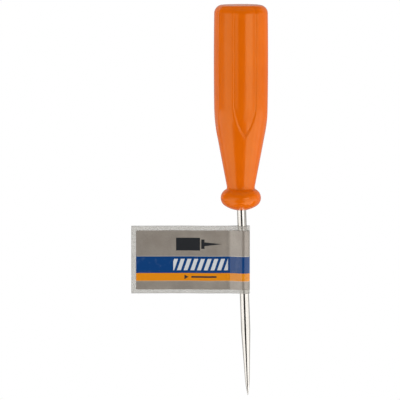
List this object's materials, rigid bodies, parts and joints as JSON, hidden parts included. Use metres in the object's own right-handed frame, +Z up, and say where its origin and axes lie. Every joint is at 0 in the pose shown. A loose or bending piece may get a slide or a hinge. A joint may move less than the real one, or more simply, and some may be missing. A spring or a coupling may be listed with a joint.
{
  "type": "bookbinding awl",
  "caption": "Straight awl for piercing book signatures: moulded grip with sunken panels and a ball collar, slender pointed steel shank, folded swing tag round the shank.",
  "frame": {"origin": "centre of the collar's underside, where the shank leaves the handle", "axes": "+Z up along the handle to its butt, the shank pointing down; the tag stands out towards -X and its front print faces -Y"},
  "size_m": [0.0489, 0.0194, 0.1402],
  "materials": {
    "handle": "glossy moulded orange",
    "shank": "bright polished and plated steel",
    "print": "silver printed strip with a blue and an orange band",
    "film": "clear glossy laminating film"
  },
  "bodies": {
    "awl": {"handle": "handle", "shank": "shank"},
    "tag": {"tag_outer_film": "film", "tag_print": "print", "tag_inner_film": "film"}
  },
  "joints": [
    {"name": "tag_swivel", "type": "hinge", "parent": "awl", "child": "tag", "pos_m": [0, 0, 0.008], "axis": [-0.0349, 0, 0.9994], "continuous": true}
  ]
}
